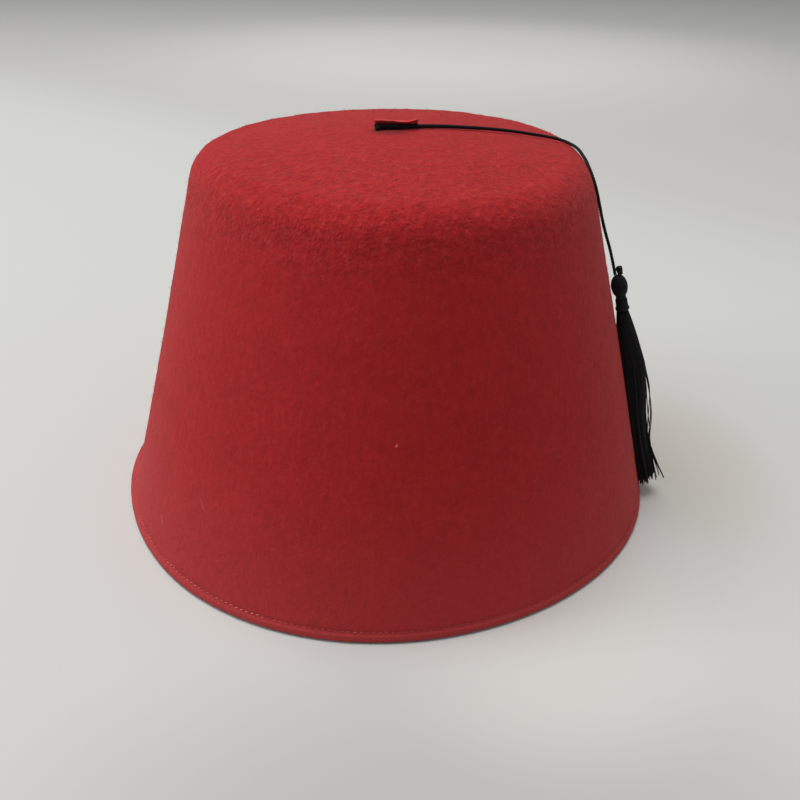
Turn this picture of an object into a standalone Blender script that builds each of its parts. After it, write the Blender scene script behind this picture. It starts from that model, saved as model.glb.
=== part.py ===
"""Fez hat: a blocked felt crown, a felt tab on its top, a black cord and a tassel that lies on its side.

Metres, +Z up. The hat stands on its rim at z = 0, with the middle of its footprint at the origin.
The front is towards -Y, and the tassel hangs at +X.
"""

import math

import bmesh
import bpy
from mathutils import Matrix, Vector

MM = 0.001

# Clearance between pieces that touch
GAP = 0.3 * MM

# Felt crown, measured on the outside of the felt
BASE_RADIUS = 95.5 * MM
TOP_RADIUS = 64.2 * MM
SIDE_HEIGHT = 121.0 * MM
DOME_RISE = 4.95 * MM
SHOULDER_RADIUS = 10.6 * MM
FELT_WALL = 2.8 * MM

# The hat leans to +X: the top by this much, and the middle of the side by this much more
TOP_LEAN = 2.4 * MM
SIDE_BOW = 0.52 * MM

# The cord has pressed a shallow dent into the felt just below the shoulder
DENT = 0.7 * MM
DENT_TURN = math.radians(-10)
DENT_SPREAD = math.radians(24)
DENT_HEIGHT = 115.0 * MM
DENT_REACH = 4.5 * MM

# Pressed hem: a lip that stands out a little, with a stitched groove above it
HEM_HEIGHT = 3.3 * MM
HEM_STAND = 0.45 * MM

# The rim is drawn in a little all round, and flares out on one side
RIM_TUCK = 0.55 * MM
FLARE = 3.5 * MM
FLARE_HEIGHT = 5.2 * MM
FLARE_TURN = math.radians(173.8)
FLARE_SPREAD = math.radians(25.1)

# How far the felt departs from round, at the rim and at the top
RIM_WARP = 1.9 * MM
TOP_WARP = 1.9 * MM

# Cord
CORD_DIAMETER = 1.0 * MM

# Tab of thin felt across the middle of the top, over the end of the cord
TAB_LENGTH = 13.6 * MM
TAB_WIDTH = 6.0 * MM
TAB_FELT = 0.9 * MM
TAB_END_LIFT = 0.3 * MM
TAB_CURL = 4

# Tassel, hung against the side
TASSEL_TURN = math.radians(-10.5)
TASSEL_TOP = 82.6 * MM
HEAD_LENGTH = 7.9 * MM
HEAD_RADIUS = 2.65 * MM
NECK_LENGTH = 5.1 * MM
NECK_RADIUS = 1.25 * MM
BINDING_WIDTH = 4.2 * MM
BINDING_THREAD = 0.5 * MM
BINDING_VALLEY = 0.6
SKIRT_LENGTH = 69.3 * MM
SKIRT_DEPTH = 7.3 * MM
SKIRT_WIDTH = 12.0 * MM
LOCK_THICKNESS = 2.4 * MM
KNOT_WIDTH = 1.7 * MM
KNOT_HEIGHT = 2.9 * MM
KNOT_OFFSET = 0.75 * MM
KNOT_STAND = 0.15 * MM

# Colours in linear red, green and blue, and roughnesses
FELT_COLOUR = (0.36, 0.022, 0.026)
FELT_ROUGHNESS = 0.95
THREAD_COLOUR = (0.008, 0.008, 0.010)
THREAD_ROUGHNESS = 0.75

# Waves round the felt: how many, their share along X and their share a quarter wave on
RIM_WAVES = (
    (2, -0.02, -0.48),
    (3, 0.79, -0.24),
)
TOP_WAVES = (
    (2, -1.42, 0.18),
    (3, -0.64, 0.26),
)

# Hem: share of its height, share of its stand
HEM_PROFILE = (
    (0.00, 0.70),
    (0.25, 1.00),
    (0.75, 0.95),
    (1.00, 0.45),
    (1.25, -0.50),
    (1.60, 0.00),
)

# Inside of the hem, as shares of the height of the flare
HEM_INSIDE = (1.0, 0.5, 0.0)

# Tab: share of its width from the back, and share of its rise over the cord
TAB_PROFILE = (
    (0.00, 0.00),
    (0.14, 0.02),
    (0.28, 0.16),
    (0.42, 0.50),
    (0.56, 0.84),
    (0.70, 0.98),
    (0.85, 1.00),
    (1.00, 0.94),
)

# Skirt: share of its length, its near and its far side from the wall as shares of its depth,
# and its share of the width
SKIRT_SECTIONS = (
    (0.00, 0.19, 0.64, 0.34),
    (0.07, 0.15, 0.77, 0.42),
    (0.16, 0.11, 0.90, 0.54),
    (0.28, 0.08, 1.02, 0.66),
    (0.42, 0.08, 0.98, 0.76),
    (0.57, 0.08, 0.80, 0.84),
    (0.72, 0.08, 0.73, 0.92),
    (0.86, 0.09, 0.78, 0.97),
    (1.00, 0.12, 0.86, 1.00),
)
CORE_SHARE = 0.80
CORE_LENGTH = 0.95

# Locks of the skirt: place round it in turns, share of the skirt's length, share of a lock's thickness
SKIRT_LOCKS = (
    (0.00, 0.955, 1.00),
    (0.09, 1.000, 0.85),
    (0.18, 0.970, 0.95),
    (0.27, 0.985, 0.90),
    (0.36, 0.960, 0.85),
    (0.45, 0.990, 0.80),
    (0.55, 0.965, 0.80),
    (0.64, 0.995, 0.85),
    (0.73, 0.960, 0.95),
    (0.82, 0.985, 0.90),
    (0.91, 0.970, 0.95),
)

# A lock along its length: share of the length, share of its thickness
LOCK_TAPER = (
    (0.02, 0.42),
    (0.12, 0.60),
    (0.30, 0.85),
    (0.50, 1.00),
    (0.70, 1.00),
    (0.84, 0.88),
    (0.94, 0.62),
    (1.00, 0.30),
)

# Fineness of the lofted forms
CROWN_TURNS = 72
SIDE_RINGS = 7
SHOULDER_RINGS = 7
TOP_RINGS = 5
INNER_RINGS = 4
HEAD_TURNS = 16
HEAD_RINGS = 7
LOCK_TURNS = 7
TAB_RINGS = 8
BINDING_TURNS = 16
KNOT_TURNS = 12
KNOT_RINGS = 8
CURVE_STEPS = 20
SHARP_ANGLE = math.radians(50)
MERGE_DISTANCE = 0.01 * MM

# Middle line of the cord, from under the tab, over the shoulder, to the tassel's head
CORD_ROUTE = (
    Vector((-2.8, -2.9, 126.7)) * MM,
    Vector((2.3, -2.4, 126.8)) * MM,
    Vector((8.5, -1.4, 126.8)) * MM,
    Vector((14.0, 0.2, 126.6)) * MM,
    Vector((19.6, 1.4, 126.3)) * MM,
    Vector((31.0, 3.8, 125.4)) * MM,
    Vector((40.0, 5.3, 124.4)) * MM,
    Vector((46.2, 6.3, 123.4)) * MM,
    Vector((51.6, 6.7, 122.6)) * MM,
    Vector((56.2, 5.0, 121.9)) * MM,
    Vector((59.4, 2.0, 121.0)) * MM,
    Vector((60.7, -1.3, 120.3)) * MM,
    Vector((61.2, -4.6, 119.6)) * MM,
    Vector((61.6, -7.8, 118.9)) * MM,
    Vector((61.9, -10.8, 118.0)) * MM,
    Vector((62.3, -13.4, 116.7)) * MM,
    Vector((63.0, -15.5, 114.8)) * MM,
    Vector((63.8, -16.4, 112.6)) * MM,
    Vector((64.9, -16.7, 109.5)) * MM,
    Vector((66.1, -16.4, 106.0)) * MM,
    Vector((67.5, -15.6, 102.2)) * MM,
    Vector((69.3, -14.8, 97.8)) * MM,
    Vector((71.6, -14.1, 92.5)) * MM,
    Vector((73.5, -13.8, 87.4)) * MM,
    Vector((74.8, -14.0, 83.4)) * MM,
)
CORD_STEP = 2.6 * CORD_DIAMETER

SIDE_SLOPE = math.atan2(BASE_RADIUS - TOP_RADIUS, SIDE_HEIGHT)
HEM_TOP = HEM_PROFILE[-1][0] * HEM_HEIGHT


def shares(count):
    """Even shares from 0 to 1."""
    return [step / count for step in range(count + 1)]


def turns(count):
    """Even angles round a full turn."""
    return [2 * math.pi * step / count for step in range(count)]


def near_turn(turn, middle, spread):
    """One at an angle round the hat, falling smoothly to none away from it."""
    away = (turn - middle + math.pi) % (2 * math.pi) - math.pi
    return math.exp(-((away / spread) ** 2))


def smooth_step(share):
    share = min(max(share, 0.0), 1.0)
    return share * share * (3 - 2 * share)


def waves(turn, rows):
    return sum(even * math.cos(count * turn) + odd * math.sin(count * turn) for count, even, odd in rows)


def between(rows, share):
    """The columns of a table, straight between its rows, at a share given in its first column."""
    for before, after in zip(rows, rows[1:]):
        if share <= after[0]:
            mix = (share - before[0]) / (after[0] - before[0])
            return [low + mix * (high - low) for low, high in zip(before[1:], after[1:])]
    return list(rows[-1][1:])


def side_height(share, inset):
    """A height on the side, as a share of the way from the hem to the shoulder."""
    side_top = SIDE_HEIGHT - SHOULDER_RADIUS + (SHOULDER_RADIUS - inset) * math.sin(SIDE_SLOPE)
    return HEM_TOP + share * (side_top - HEM_TOP)


def bent_point(turn, zone, reach, inset=0.0, stand=0.0):
    """A point of the felt at an angle round the hat, before the footprint is centred.

    On the wall, reach is a height. On the shoulder and the top it is a share of the way in.
    """
    centre_height = SIDE_HEIGHT - SHOULDER_RADIUS
    centre_radius = BASE_RADIUS - centre_height * math.tan(SIDE_SLOPE) - SHOULDER_RADIUS / math.cos(SIDE_SLOPE)
    if zone == "wall":
        height = reach
        radius = BASE_RADIUS - height * math.tan(SIDE_SLOPE) - inset / math.cos(SIDE_SLOPE)
    elif zone == "shoulder":
        angle = SIDE_SLOPE + reach * (math.pi / 2 - SIDE_SLOPE)
        height = centre_height + (SHOULDER_RADIUS - inset) * math.sin(angle)
        radius = centre_radius + (SHOULDER_RADIUS - inset) * math.cos(angle)
    else:
        height = SIDE_HEIGHT - inset + DOME_RISE * (1 - (1 - reach) ** 2)
        radius = centre_radius * (1 - reach)
    up = min(height / SIDE_HEIGHT, 1.0)
    radius += (1 - up) * RIM_WARP * waves(turn, RIM_WAVES)
    radius += up * min(radius / TOP_RADIUS, 1.0) * TOP_WARP * waves(turn, TOP_WAVES)
    dent = near_turn(turn, DENT_TURN, DENT_SPREAD) * math.exp(-(((height - DENT_HEIGHT) / DENT_REACH) ** 2))
    radius -= DENT * dent * min(radius / TOP_RADIUS, 1.0)
    flare = FLARE * near_turn(turn, FLARE_TURN, FLARE_SPREAD)
    radius += (flare - RIM_TUCK) * smooth_step(1 - height / FLARE_HEIGHT)
    radius += stand
    lean = TOP_LEAN * height / (SIDE_HEIGHT + DOME_RISE) + SIDE_BOW * math.sin(math.pi * up)
    return Vector((radius * math.cos(turn) + lean, radius * math.sin(turn), height))


def foot_middle():
    """The middle of the box round the hem."""
    hem = [
        bent_point(turn, "wall", height * HEM_HEIGHT, stand=stand * HEM_STAND)
        for height, stand in HEM_PROFILE
        for turn in turns(CROWN_TURNS)
    ]
    spans = [(min(point[axis] for point in hem), max(point[axis] for point in hem)) for axis in (0, 1)]
    return Vector(((spans[0][0] + spans[0][1]) / 2, (spans[1][0] + spans[1][1]) / 2, 0))


FOOT_MIDDLE = foot_middle()


def felt_point(turn, zone, reach, inset=0.0, stand=0.0):
    """A point of the felt, with the middle of the footprint at the origin."""
    return bent_point(turn, zone, reach, inset, stand) - FOOT_MIDDLE


def material(name, colour, roughness):
    """A cloth material: a colour in linear red, green and blue, and a roughness."""
    made = bpy.data.materials.new(name)
    made.use_nodes = True
    shader = made.node_tree.nodes["Principled BSDF"]
    shader.inputs["Base Color"].default_value = (*colour, 1)
    shader.inputs["Roughness"].default_value = roughness
    shader.inputs["Metallic"].default_value = 0
    return made


def add_object(name, mesh, collection, finish=None):
    made = bpy.data.objects.new(name, mesh)
    collection.objects.link(made)
    if finish:
        mesh.materials.append(finish)
    return made


def loft_mesh(name, first, rings, last):
    """A closed skin from one point, through rings with the same number of points, to another point."""
    shape = bmesh.new()
    start = shape.verts.new(first)
    rows = [[shape.verts.new(point) for point in ring] for ring in rings]
    end = shape.verts.new(last)
    count = len(rows[0])
    for place in range(count):
        after = (place + 1) % count
        shape.faces.new((start, rows[0][after], rows[0][place]))
        for lower, upper in zip(rows, rows[1:]):
            shape.faces.new((lower[place], lower[after], upper[after], upper[place]))
        shape.faces.new((rows[-1][place], rows[-1][after], end))
    mesh = bpy.data.meshes.new(name)
    shape.to_mesh(mesh)
    shape.free()
    mesh.shade_smooth()
    mesh.set_sharp_from_angle(angle=SHARP_ANGLE)
    return mesh


def crown_ring(zone, reach, inset=0.0, stand=0.0):
    return [felt_point(turn, zone, reach, inset, stand) for turn in turns(CROWN_TURNS)]


def face_rings(side_rings, shoulder_rings, top_rings, inset):
    """Rings of one face of the felt above the hem, from the side up and in over the top."""
    rings = []
    for share in shares(side_rings)[1:]:
        rings.append(crown_ring("wall", side_height(share, inset), inset))
    for share in shares(shoulder_rings)[1:]:
        rings.append(crown_ring("shoulder", share, inset))
    for share in shares(top_rings)[1:-1]:
        rings.append(crown_ring("top", share, inset))
    return rings


def felt_crown_mesh():
    """Down the inside of the felt, across the flat rim and up the outside."""
    inside = face_rings(INNER_RINGS, INNER_RINGS, INNER_RINGS, FELT_WALL)
    hem_inside = [crown_ring("wall", share * FLARE_HEIGHT, FELT_WALL) for share in HEM_INSIDE]
    hem_outside = [
        crown_ring("wall", height * HEM_HEIGHT, stand=stand * HEM_STAND) for height, stand in HEM_PROFILE
    ]
    outside = face_rings(SIDE_RINGS, SHOULDER_RINGS, TOP_RINGS, 0.0)
    rings = inside[::-1] + hem_inside + hem_outside + outside
    return loft_mesh("felt_crown", felt_point(0, "top", 1.0, FELT_WALL), rings, felt_point(0, "top", 1.0))


def centre_tab(collection, felt):
    """A strip of felt that lies on the top at its back edge and rises over the cord at its front."""
    middle = felt_point(0, "top", 1.0)
    rise = CORD_DIAMETER + GAP
    shape = bmesh.new()
    rows = []
    for along in shares(TAB_RINGS):
        lift = TAB_END_LIFT * along**TAB_CURL
        rows.append(
            [
                shape.verts.new(
                    middle
                    + Vector(
                        (
                            (along - 0.5) * TAB_LENGTH,
                            (0.5 - across) * TAB_WIDTH,
                            GAP + up * (rise + lift),
                        )
                    )
                )
                for across, up in TAB_PROFILE
            ]
        )
    for left, right in zip(rows, rows[1:]):
        for place in range(len(TAB_PROFILE) - 1):
            shape.faces.new((left[place], left[place + 1], right[place + 1], right[place]))
    mesh = bpy.data.meshes.new("centre_tab")
    shape.to_mesh(mesh)
    shape.free()
    tab = add_object("centre_tab", mesh, collection, felt)
    wall = tab.modifiers.new("felt", "SOLIDIFY")
    wall.thickness = TAB_FELT
    wall.offset = 1
    wall.use_even_offset = True
    return tab


class TasselFrame:
    """Places against the side of the hat: out from the wall, sideways along it and down it."""

    def __init__(self):
        top = felt_point(TASSEL_TURN, "wall", TASSEL_TOP)
        foot = felt_point(TASSEL_TURN, "wall", HEM_TOP)
        around = Vector((-math.sin(TASSEL_TURN), math.cos(TASSEL_TURN), 0))
        self.origin = top
        self.down = (foot - top).normalized()
        self.out = self.down.cross(around).normalized()
        self.sideways = self.down.cross(self.out)

    def point(self, out, sideways, down):
        return self.origin + out * self.out + sideways * self.sideways + down * self.down

    def matrix(self, out, down):
        """The frame at a place, with its Z axis down the wall."""
        turned = Matrix((self.out, self.sideways, self.down)).transposed().to_4x4()
        return Matrix.Translation(self.point(out, 0, down)) @ turned


HEAD_AXIS = HEAD_RADIUS + GAP
SKIRT_TOP = HEAD_LENGTH + NECK_LENGTH


def ellipse_ring(frame, count, middle, out_radius, side_radius, down, sideways=0.0):
    return [
        frame.point(
            middle + out_radius * math.cos(angle),
            sideways + side_radius * math.sin(angle),
            down,
        )
        for angle in turns(count)
    ]


def skirt_section(share):
    """The middle of the skirt's section from the wall, its half depth and its half width."""
    near, far, width = between(SKIRT_SECTIONS, share)
    middle = (near + far) / 2 * SKIRT_DEPTH
    return middle, (far - near) / 2 * SKIRT_DEPTH, width / 2 * SKIRT_WIDTH


def tassel_core(frame):
    """Round head, narrow neck and the inside of the skirt, as one skin."""
    neck_angle = math.pi - math.asin(NECK_RADIUS / HEAD_RADIUS)
    rings = []
    for share in shares(HEAD_RINGS)[1:]:
        angle = share * neck_angle
        radius = HEAD_RADIUS * math.sin(angle)
        down = HEAD_LENGTH / 2 * (1 - math.cos(angle))
        rings.append(ellipse_ring(frame, HEAD_TURNS, HEAD_AXIS, radius, radius, down))
    neck_end = SKIRT_TOP - (NECK_LENGTH - BINDING_WIDTH) / 2
    rings.append(ellipse_ring(frame, HEAD_TURNS, HEAD_AXIS, NECK_RADIUS, NECK_RADIUS, neck_end))
    for row in SKIRT_SECTIONS:
        share = row[0] * CORE_LENGTH
        middle, depth, width = skirt_section(share)
        down = SKIRT_TOP + share * SKIRT_LENGTH
        rings.append(ellipse_ring(frame, HEAD_TURNS, middle, CORE_SHARE * depth, CORE_SHARE * width, down))
    last = frame.point(middle, 0, SKIRT_TOP + CORE_LENGTH * SKIRT_LENGTH)
    return loft_mesh("tassel", frame.point(HEAD_AXIS, 0, 0), rings, last)


def skirt_lock(frame, name, place, length, thickness):
    """One lock, which follows the outline of the skirt from the neck to its own tip."""
    angle = 2 * math.pi * place
    rings = []
    middles = []
    for share, taper in LOCK_TAPER:
        radius = LOCK_THICKNESS / 2 * thickness * taper
        middle, depth, width = skirt_section(share * length)
        out = middle + max(depth - radius, 0) * math.cos(angle)
        sideways = max(width - radius, 0) * math.sin(angle)
        down = SKIRT_TOP + share * length * SKIRT_LENGTH
        middles.append(frame.point(out, sideways, down))
        rings.append(ellipse_ring(frame, LOCK_TURNS, out, radius, radius, down, sideways))
    return loft_mesh(name, middles[0], rings, middles[-1])


def tassel(frame, collection, cutters, thread):
    """The head, neck and skirt, with the locks joined to them."""
    body = add_object("tassel", tassel_core(frame), collection, thread)
    for number, (place, length, thickness) in enumerate(SKIRT_LOCKS):
        name = f"skirt_lock_{number + 1}"
        lock = add_object(name, skirt_lock(frame, name, place, length, thickness), cutters)
        lock.hide_render = True
        lock.display_type = "WIRE"
        joined = body.modifiers.new(name, "BOOLEAN")
        joined.operation = "UNION"
        joined.solver = "EXACT"
        joined.object = lock
    return body


def tassel_binding(frame, collection, thread):
    """Thread wound round the neck: a turned band with a ridge for each turn of the thread."""
    inner = NECK_RADIUS + GAP
    ridges = round(BINDING_WIDTH / (2 * BINDING_THREAD))
    half = BINDING_WIDTH / 2
    profile = []
    for step in range(2 * ridges + 1):
        height = half - BINDING_WIDTH * step / (2 * ridges)
        bulge = BINDING_THREAD * (1 if step % 2 else BINDING_VALLEY)
        profile.append((inner + bulge, 0, height))
    profile += [(inner, 0, -half), (inner, 0, half)]
    shape = bmesh.new()
    points = [shape.verts.new(point) for point in profile]
    for here, there in zip(points, points[1:] + points[:1]):
        shape.edges.new((here, there))
    mesh = bpy.data.meshes.new("tassel_binding")
    shape.to_mesh(mesh)
    shape.free()
    band = add_object("tassel_binding", mesh, collection, thread)
    band.matrix_world = frame.matrix(HEAD_AXIS, SKIRT_TOP - NECK_LENGTH / 2)
    spin = band.modifiers.new("turned", "SCREW")
    spin.angle = 2 * math.pi
    spin.steps = BINDING_TURNS
    spin.render_steps = BINDING_TURNS
    spin.use_merge_vertices = True
    spin.merge_threshold = MERGE_DISTANCE
    spin.use_smooth_shade = True
    return band


def tassel_knot(frame, collection, thread):
    """The cut end of the cord, which stands on the head beside the cord."""
    shape = bmesh.new()
    bmesh.ops.create_uvsphere(shape, u_segments=KNOT_TURNS, v_segments=KNOT_RINGS, radius=0.5)
    bmesh.ops.scale(shape, vec=Vector((KNOT_WIDTH, KNOT_WIDTH, KNOT_HEIGHT)), verts=shape.verts)
    mesh = bpy.data.meshes.new("tassel_knot")
    shape.to_mesh(mesh)
    shape.free()
    mesh.shade_smooth()
    knot = add_object("tassel_knot", mesh, collection, thread)
    knot.matrix_world = frame.matrix(HEAD_AXIS + KNOT_OFFSET, -KNOT_HEIGHT / 2 - KNOT_STAND)
    return knot


def smooth_route(points, step):
    """Points an even step apart along a smooth curve through the given ones."""
    padded = [2 * points[0] - points[1], *points, 2 * points[-1] - points[-2]]
    fine = []
    for before, here, there, after in zip(padded, padded[1:], padded[2:], padded[3:]):
        for share in shares(CURVE_STEPS)[:-1]:
            fine.append(
                0.5
                * (
                    2 * here
                    + (there - before) * share
                    + (2 * before - 5 * here + 4 * there - after) * share**2
                    + (3 * here - before - 3 * there + after) * share**3
                )
            )
    fine.append(points[-1])
    lengths = [0.0]
    for here, there in zip(fine, fine[1:]):
        lengths.append(lengths[-1] + (there - here).length)
    count = max(round(lengths[-1] / step), 1)
    spaced = []
    for share in shares(count):
        wanted = share * lengths[-1]
        place = max(index for index, length in enumerate(lengths[:-1]) if length <= wanted)
        mix = (wanted - lengths[place]) / (lengths[place + 1] - lengths[place])
        spaced.append(fine[place].lerp(fine[place + 1], mix))
    return spaced


def tassel_cord(collection, thread):
    points = smooth_route(CORD_ROUTE, CORD_STEP)
    curve = bpy.data.curves.new("tassel_cord", "CURVE")
    curve.dimensions = "3D"
    curve.bevel_depth = CORD_DIAMETER / 2
    curve.bevel_resolution = 2
    curve.use_fill_caps = True
    line = curve.splines.new("POLY")
    line.points.add(len(points) - 1)
    for target, point in zip(line.points, points):
        target.co = (*point, 1)
    return add_object("tassel_cord", curve, collection, thread)


def main():
    for old in list(bpy.data.objects):
        bpy.data.objects.remove(old)
    hat = bpy.data.collections.new("fez_hat")
    cutters = bpy.data.collections.new("joined_locks")
    for collection in (hat, cutters):
        bpy.context.scene.collection.children.link(collection)
    felt = material("red_felt", FELT_COLOUR, FELT_ROUGHNESS)
    thread = material("black_thread", THREAD_COLOUR, THREAD_ROUGHNESS)
    add_object("felt_crown", felt_crown_mesh(), hat, felt)
    centre_tab(hat, felt)
    tassel_cord(hat, thread)
    frame = TasselFrame()
    tassel(frame, hat, cutters, thread)
    tassel_binding(frame, hat, thread)
    tassel_knot(frame, hat, thread)


main()
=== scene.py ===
# Fez hat: red felt crown with a pressed and stitched hem, felt tab, black cord and tassel.
# Metres, +Z up. The front is towards -Y, and the tassel hangs at +X.

import math

import bpy
import numpy as np
from mathutils import Matrix, Vector


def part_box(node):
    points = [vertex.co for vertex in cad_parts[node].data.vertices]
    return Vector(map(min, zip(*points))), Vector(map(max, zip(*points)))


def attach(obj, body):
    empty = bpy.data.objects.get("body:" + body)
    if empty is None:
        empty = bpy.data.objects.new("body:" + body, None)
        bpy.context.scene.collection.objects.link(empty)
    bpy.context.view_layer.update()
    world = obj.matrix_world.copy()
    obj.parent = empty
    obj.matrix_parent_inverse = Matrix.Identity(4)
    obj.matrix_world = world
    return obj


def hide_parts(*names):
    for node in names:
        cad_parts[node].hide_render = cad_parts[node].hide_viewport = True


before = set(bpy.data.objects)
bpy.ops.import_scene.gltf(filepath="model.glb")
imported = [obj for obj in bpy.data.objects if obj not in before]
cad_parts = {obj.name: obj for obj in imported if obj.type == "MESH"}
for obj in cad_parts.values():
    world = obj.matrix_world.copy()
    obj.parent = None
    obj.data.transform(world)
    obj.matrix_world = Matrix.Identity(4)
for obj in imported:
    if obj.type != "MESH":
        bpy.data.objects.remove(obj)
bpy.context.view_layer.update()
print("frame loaded")

mm = 0.001
gap = 0.3 * mm
tiny = 1e-12


# numbers and shapes

def unit(vectors):
    # each vector divided by its own length
    return vectors / np.maximum(np.linalg.norm(vectors, axis=-1, keepdims=True), tiny)


def softStep(share):
    # 0 below 0, 1 above 1, and 3 s^2 - 2 s^3 between
    share = np.clip(share, 0.0, 1.0)
    return share * share * (3 - 2 * share)


hashing = {
    "primes": (374761393, 668265263, 1440670441),
    "seedStep": 974711,
    "mixer": 1274126177,
    "firstShift": 13,
    "lastShift": 16,
    "bits": 0xFFFFF,
}


def softNoise(points, size, seed):
    # from -1 to 1: random numbers on a cubic lattice of this size, blended by the soft step
    scaled = points / size
    cell = np.floor(scaled).astype(np.int64)
    part = softStep(scaled - cell)
    total = 0.0
    for corner in np.ndindex(2, 2, 2):
        mixed = (cell + corner) @ np.array(hashing["primes"]) + seed * hashing["seedStep"]
        mixed = (mixed ^ (mixed >> hashing["firstShift"])) * hashing["mixer"]
        value = ((mixed ^ (mixed >> hashing["lastShift"])) & hashing["bits"]) / hashing["bits"]
        total = total + value * np.prod(np.where(corner, part, 1 - part), axis=-1)
    return 2 * total - 1


def skinFaces(rings, count, start=0):
    # cells between rings of the same number of points, and a fan at each end to its own last point
    place = start + np.arange(rings * count).reshape(rings, count)
    after = np.roll(place, -1, axis=1)
    cells = np.stack([place[:-1], after[:-1], after[1:], place[1:]], axis=-1).reshape(-1, 4)
    first = np.full(count, start + rings * count)
    last = first + 1
    ends = np.concatenate([
        np.stack([first, after[0], place[0]], axis=-1),
        np.stack([place[-1], after[-1], last], axis=-1),
    ])
    return cells.tolist() + ends.tolist()


def skinPoints(rings):
    # the rings, then the middle of the first ring and of the last one
    ends = np.stack([rings[0].mean(axis=0), rings[-1].mean(axis=0)])
    return np.concatenate([rings.reshape(-1, 3), ends])


def tubePoints(paths, radii, sides, reference):
    # round each step of each path: path + radius * (cos(angle) * across + sin(angle) * over)
    along = unit(np.gradient(paths, axis=1))
    across = unit(np.cross(along, reference))
    over = np.cross(along, across)
    angle = 2 * np.pi * np.arange(sides)[:, None] / sides
    ring = np.cos(angle) * across[:, :, None, :] + np.sin(angle) * over[:, :, None, :]
    return paths[:, :, None, :] + radii[:, :, None, None] * ring


def tubeFaces(tubes, steps, sides, start=0):
    # the cells of each tube's wall, and a flat cap at both of its ends
    place = start + np.arange(tubes * steps * sides).reshape(tubes, steps, sides)
    after = np.roll(place, -1, axis=2)
    walls = np.stack([place[:, :-1], after[:, :-1], after[:, 1:], place[:, 1:]], axis=-1).reshape(-1, 4)
    caps = np.concatenate([place[:, 0, ::-1], place[:, -1]])
    return walls.tolist() + caps.tolist()


def makePiece(name, points, faces, finish):
    # a mesh that stays at the origin, with its place in its own points
    mesh = bpy.data.meshes.new(name)
    mesh.from_pydata(points.reshape(-1, 3).tolist(), [], faces)
    mesh.shade_smooth()
    mesh.materials.append(finish)
    piece = bpy.data.objects.new(name, mesh)
    bpy.context.scene.collection.objects.link(piece)
    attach(piece, "root")
    return piece


# shader maths

class Wire:
    # a socket that adds, subtracts and multiplies like a number
    def __init__(self, board, socket):
        self.board = board
        self.socket = socket

    def sum(self, operation, first, second):
        return self.board.node("ShaderNodeMath", {"operation": operation}, {0: first, 1: second})

    def __add__(self, other):
        return self.sum("ADD", self, other)

    def __radd__(self, other):
        return self.sum("ADD", other, self)

    def __sub__(self, other):
        return self.sum("SUBTRACT", self, other)

    def __rsub__(self, other):
        return self.sum("SUBTRACT", other, self)

    def __mul__(self, other):
        return self.sum("MULTIPLY", self, other)

    def __rmul__(self, other):
        return self.sum("MULTIPLY", other, self)

    def clamped(self):
        return self.board.node("ShaderNodeClamp", {}, {0: self})


finishSockets = {
    "roughness": "Roughness",
    "sheen": "Sheen Weight",
    "sheenRoughness": "Sheen Roughness",
    "sheenTint": "Sheen Tint",
    "shine": "Specular IOR Level",
}


class Board:
    # one material, even in what finishSockets names, with a method that makes any node
    def __init__(self, name, look):
        self.material = bpy.data.materials.new(name)
        self.material.use_nodes = True
        self.tree = self.material.node_tree
        self.shader = self.tree.nodes["Principled BSDF"]
        for key, socket in finishSockets.items():
            if key in look:
                self.shader.inputs[socket].default_value = look[key]

    def node(self, kind, settings, values, output=0):
        made = self.tree.nodes.new(kind)
        for setting, value in settings.items():
            setattr(made, setting, value)
        for socket, value in values.items():
            self.feed(made.inputs[socket], value)
        return Wire(self, made.outputs[output])

    def feed(self, socket, value):
        if isinstance(value, Wire):
            self.tree.links.new(value.socket, socket)
        else:
            socket.default_value = value

    def place(self, stretch=(1, 1, 1)):
        # Object coordinates, stretched along each axis
        seen = self.node("ShaderNodeTexCoord", {}, {}, output=3)
        return self.node("ShaderNodeMapping", {}, {"Vector": seen, "Scale": stretch})

    def noise(self, place, size, detail=2.0, roughness=0.5, distortion=0.0):
        # about 0.5, in patches of this size in metres
        values = {"Vector": place, "Scale": 1 / size, "Detail": detail, "Roughness": roughness}
        values["Distortion"] = distortion
        return self.node("ShaderNodeTexNoise", {}, values)

    def cells(self, place, size):
        # how far the nearest of many scattered points is, in shares of the size
        return self.node("ShaderNodeTexVoronoi", {"feature": "F1"}, {"Vector": place, "Scale": 1 / size})

    def ramp(self, value, low, high):
        # 0 at low, 1 at high, smooth between
        values = {"Value": value, "From Min": low, "From Max": high}
        return self.node("ShaderNodeMapRange", {"interpolation_type": "SMOOTHSTEP"}, values)

    def spot(self, place, middle, size, turned=(0, 0, 0)):
        # 1 in the middle quarter of an oval of this size, smoothly down to 0 at its edge
        values = {"Vector": place, "Location": middle, "Rotation": turned, "Scale": size}
        inside = self.node("ShaderNodeMapping", {"vector_type": "TEXTURE"}, values)
        away = self.node("ShaderNodeVectorMath", {"operation": "LENGTH"}, {0: inside}, output=1)
        return 1 - self.ramp(away, 0.25, 1.0)

    def blend(self, share, first, second):
        # from the first colour to the second
        values = {0: share}
        for socket, colour in ((6, first), (7, second)):
            values[socket] = (*colour, 1) if isinstance(colour, tuple) else colour
        return self.node("ShaderNodeMix", {"data_type": "RGBA"}, values, output=2)

    def bump(self, height, depth):
        # a height from 0 to 1, raised to this depth in metres
        raised = self.node("ShaderNodeBump", {}, {"Height": height, "Distance": depth})
        self.feed(self.shader.inputs["Normal"], raised)

    def colour(self, value):
        self.feed(self.shader.inputs["Base Color"], value)


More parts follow.
